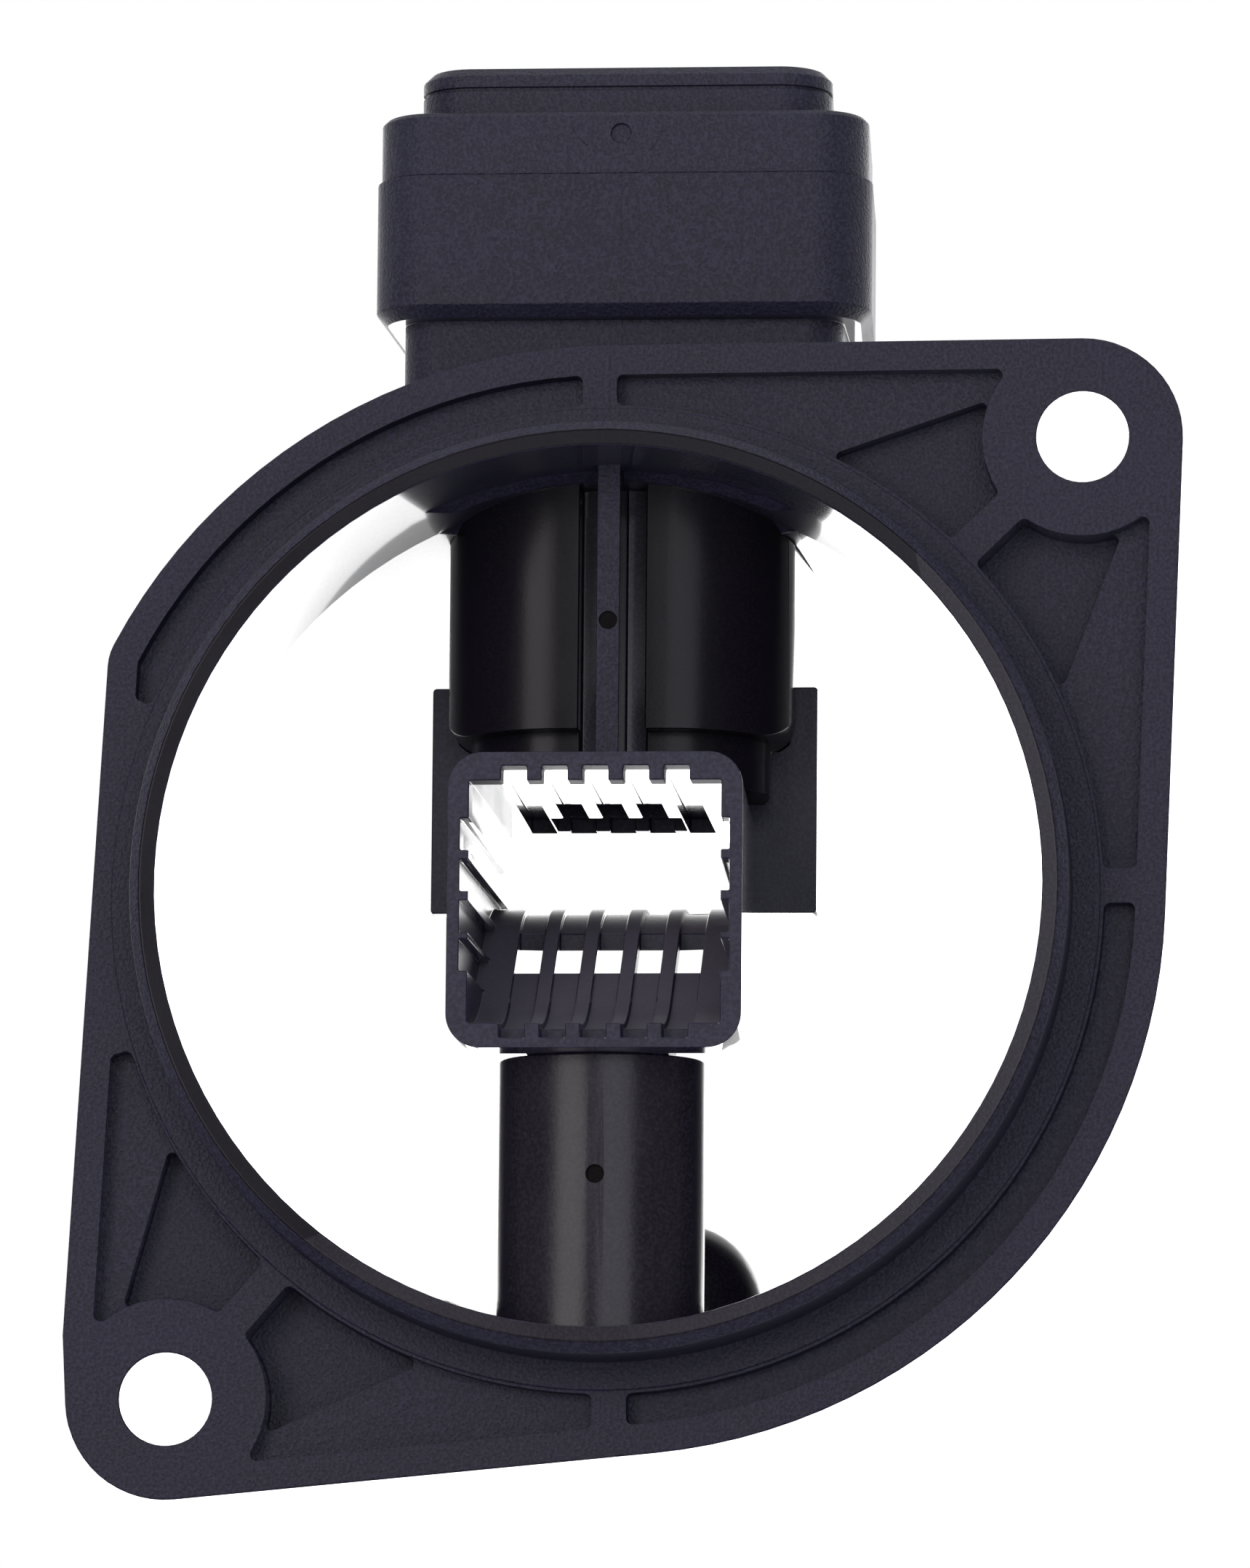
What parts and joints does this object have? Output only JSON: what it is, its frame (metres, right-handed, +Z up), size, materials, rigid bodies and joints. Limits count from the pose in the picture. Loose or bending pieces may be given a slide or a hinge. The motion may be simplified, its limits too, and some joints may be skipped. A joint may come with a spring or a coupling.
{
  "type": "mass airflow sensor",
  "caption": "Air duct with a mounting flange, a central measuring scoop on columns, and an electronics box with a plug socket on top.",
  "frame": {"origin": "on the bore axis, in the plane of the flange's front face", "axes": "+Y downstream along the bore, +Z up to the electronics box, +X to the right seen from the air inlet"},
  "size_m": [0.0842, 0.059, 0.1123],
  "materials": {
    "housing": "fine-grained moulded black",
    "flow_channel": "moulded black",
    "lid": "fine-grained moulded black",
    "seal_rubber": "soft silicone",
    "tinned_brass": "bright tinned",
    "film_glaze": "glazed",
    "carrier_plastic": "moulded black",
    "plate_aluminium": "rolled",
    "board_laminate": "white ceramic",
    "chip_resin": "moulded resin",
    "capacitor_ceramic": "fired ceramic",
    "resistor_coat": "glazed",
    "bond_metal": "bright foil",
    "bead_glass": "glass bead",
    "lead_wire": "drawn wire"
  },
  "bodies": {
    "root": {"air_thermistor": "bead_glass", "base_plate": "plate_aluminium", "bond_strip_1": "bond_metal", "bond_strip_2": "bond_metal", "bond_strip_3": "bond_metal", "bond_strip_4": "bond_metal", "capacitor_1": "capacitor_ceramic", "capacitor_2": "capacitor_ceramic", "capacitor_3": "capacitor_ceramic", "capacitor_4": "capacitor_ceramic", "carrier_gasket": "seal_rubber", "circuit_board": "board_laminate", "driver_chip": "chip_resin", "flow_channel": "flow_channel", "heated_film": "film_glaze", "housing": "housing", "lid": "lid", "lid_seal": "seal_rubber", "reference_film": "film_glaze", "resistor_1": "resistor_coat", "resistor_2": "resistor_coat", "resistor_3": "resistor_coat", "sensor_carrier": "carrier_plastic", "signal_chip": "chip_resin", "terminal_1": "tinned_brass", "terminal_2": "tinned_brass", "terminal_3": "tinned_brass", "terminal_4": "tinned_brass", "terminal_5": "tinned_brass", "thermistor_lead_1": "lead_wire", "thermistor_lead_2": "lead_wire"}
  },
  "joints": []
}
